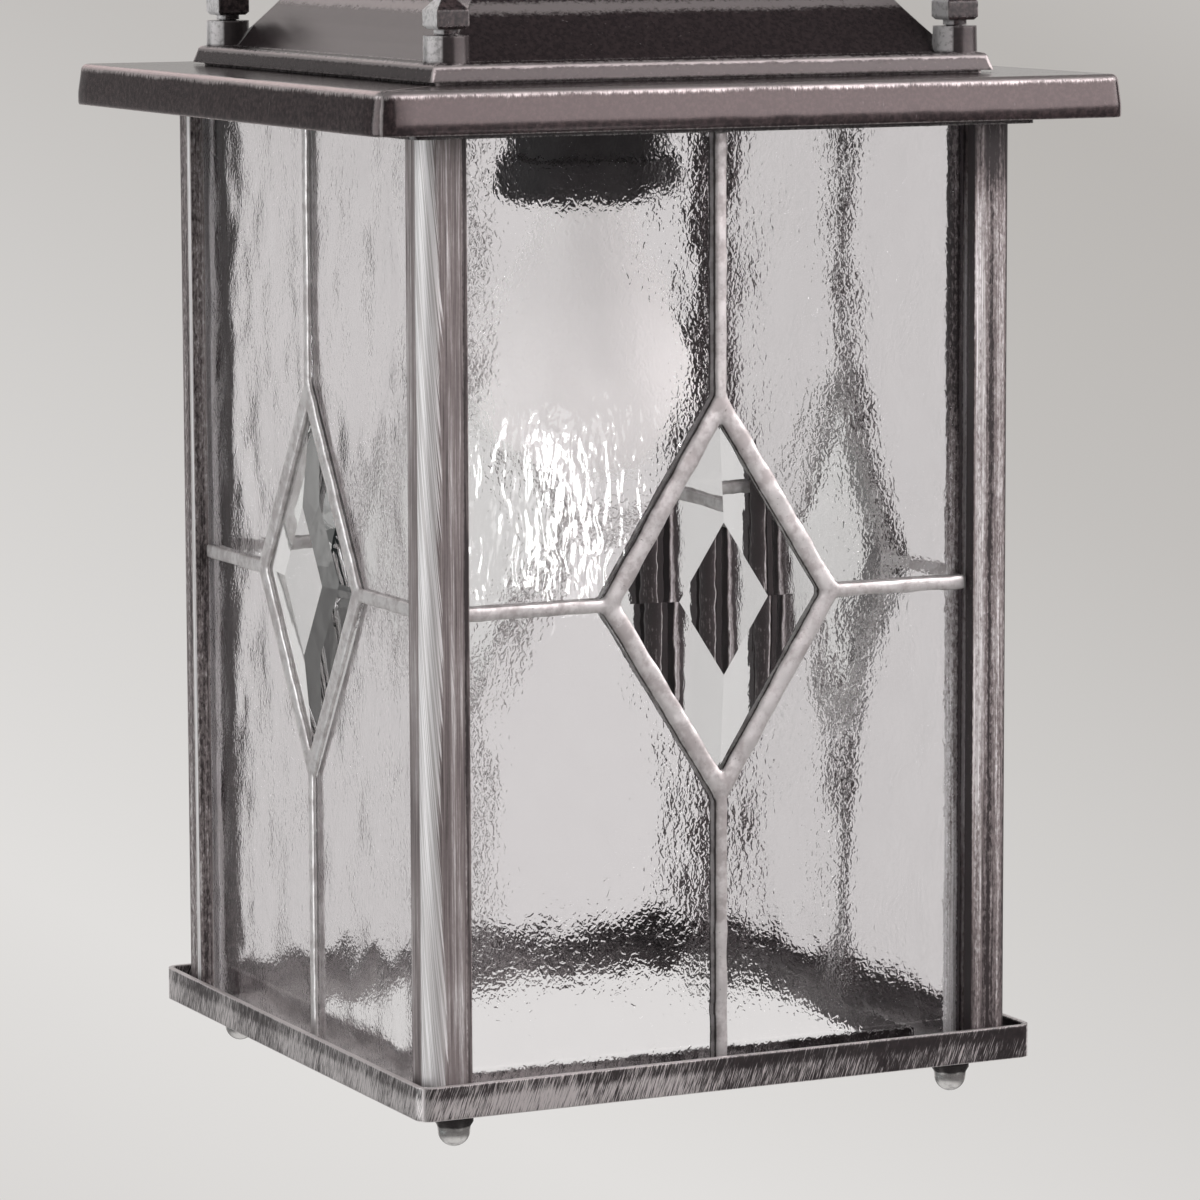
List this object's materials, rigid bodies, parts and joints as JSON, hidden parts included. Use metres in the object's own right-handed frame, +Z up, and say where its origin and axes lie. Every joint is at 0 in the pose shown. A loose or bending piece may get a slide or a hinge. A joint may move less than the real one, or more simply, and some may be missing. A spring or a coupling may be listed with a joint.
{
  "type": "outdoor hanging lantern",
  "caption": "Square pagoda-roofed hanging lantern with leaded water-glass panes, bevelled diamonds, corner tie rods with finials, open base, lampholder, and a short chain with a ceiling rose.",
  "frame": {"origin": "centre of the ceiling rose's mounting face, midway between its two fixing holes", "axes": "+Z up towards the ceiling; the front pane looks along -Y, +X to its right"},
  "size_m": [0.219, 0.219, 0.5623],
  "materials": {
    "black_silver": "black paint on cast aluminium, dry-brushed with silver",
    "rod_steel": "dull plated steel",
    "bright_steel": "bright nickel plate",
    "brass": "plain brass",
    "black_rubber": "matt black rubber",
    "white_plastic": "white moulded plastic",
    "black_plastic": "black phenolic plastic",
    "lead": "tinned lead came with soldered joints",
    "water_glass": "clear water glass with a rippled surface",
    "bevelled_glass": "clear bevelled plate glass",
    "bulb_glass": "soft white glass",
    "bulb_cap": "plain aluminium screw cap"
  },
  "bodies": {
    "ceiling": {"ceiling_rose": "black_silver", "ceiling_eye": "black_silver", "eye_nut": "bright_steel", "rose_grommet": "black_rubber", "terminal_block": "white_plastic"},
    "link_upper": {"link_upper": "black_silver"},
    "link_middle": {"link_middle": "black_silver"},
    "link_lower": {"link_lower": "black_silver"},
    "roof": {"hanging_loop": "black_silver", "loop_grommet": "black_rubber", "top_cap": "black_silver", "roof_crown": "black_silver", "threaded_tube": "brass", "tube_nuts": "brass", "lampholder_cap": "black_plastic", "lampholder_body": "black_plastic", "screw_shell": "brass"},
    "lampholder_ring": {"lampholder_ring": "black_plastic"},
    "bulb": {"bulb_glass": "bulb_glass", "bulb_screw_cap": "bulb_cap"},
    "cage": {"eave_tray": "black_silver", "top_frame": "black_silver", "base_tray": "black_silver", "tie_rods": "rod_steel", "acorn_nuts": "bright_steel", "base_washers": "bright_steel", "post_front_left": "black_silver", "post_front_right": "black_silver", "post_back_right": "black_silver", "post_back_left": "black_silver", "lead_front": "lead", "lead_right": "lead", "lead_back": "lead", "lead_left": "lead", "bevel_front": "bevelled_glass", "bevel_right": "bevelled_glass", "bevel_back": "bevelled_glass", "bevel_left": "bevelled_glass", "glass_front_upper_left": "water_glass", "glass_front_upper_right": "water_glass", "glass_front_lower_right": "water_glass", "glass_front_lower_left": "water_glass", "glass_right_upper_left": "water_glass", "glass_right_upper_right": "water_glass", "glass_right_lower_right": "water_glass", "glass_right_lower_left": "water_glass", "glass_back_upper_left": "water_glass", "glass_back_upper_right": "water_glass", "glass_back_lower_right": "water_glass", "glass_back_lower_left": "water_glass", "glass_left_upper_left": "water_glass", "glass_left_upper_right": "water_glass", "glass_left_lower_right": "water_glass", "glass_left_lower_left": "water_glass"},
    "finial_front_left": {"finial_front_left": "black_silver"},
    "finial_front_right": {"finial_front_right": "black_silver"},
    "finial_back_right": {"finial_back_right": "black_silver"},
    "finial_back_left": {"finial_back_left": "black_silver"}
  },
  "joints": [
    {"name": "link_upper_swing", "type": "hinge", "parent": "ceiling", "child": "link_upper", "pos_m": [0, 0, -0.0495], "axis": [1, 0, 0], "range_deg": [-30, 30]},
    {"name": "link_middle_swing", "type": "hinge", "parent": "link_upper", "child": "link_middle", "pos_m": [0, 0, -0.0792], "axis": [0, 1, 0], "range_deg": [-30, 30]},
    {"name": "link_lower_swing", "type": "hinge", "parent": "link_middle", "child": "link_lower", "pos_m": [0, 0, -0.1089], "axis": [1, 0, 0], "range_deg": [-30, 30]},
    {"name": "lantern_swing", "type": "hinge", "parent": "link_lower", "child": "roof", "pos_m": [0, 0, -0.1386], "axis": [0, 1, 0], "range_deg": [-30, 30]},
    {"name": "cage_lower", "type": "slide", "parent": "roof", "child": "cage", "axis": [0, 0, -1], "range_m": [0, 0.15]},
    {"name": "lampholder_ring_turn", "type": "hinge", "parent": "roof", "child": "lampholder_ring", "pos_m": [0, 0, -0.31], "axis": [0, 0, 1], "continuous": true},
    {"name": "bulb_unscrew", "type": "slide", "parent": "roof", "child": "bulb", "axis": [0, 0, -1], "range_m": [0, 0.03]},
    {"name": "finial_front_left_turn", "type": "hinge", "parent": "roof", "child": "finial_front_left", "pos_m": [-0.0753, -0.0753, -0.262], "axis": [0, 0, 1], "continuous": true},
    {"name": "finial_front_right_turn", "type": "hinge", "parent": "roof", "child": "finial_front_right", "pos_m": [0.0753, -0.0753, -0.262], "axis": [0, 0, 1], "continuous": true},
    {"name": "finial_back_right_turn", "type": "hinge", "parent": "roof", "child": "finial_back_right", "pos_m": [0.0753, 0.0753, -0.262], "axis": [0, 0, 1], "continuous": true},
    {"name": "finial_back_left_turn", "type": "hinge", "parent": "roof", "child": "finial_back_left", "pos_m": [-0.0753, 0.0753, -0.262], "axis": [0, 0, 1], "continuous": true}
  ]
}
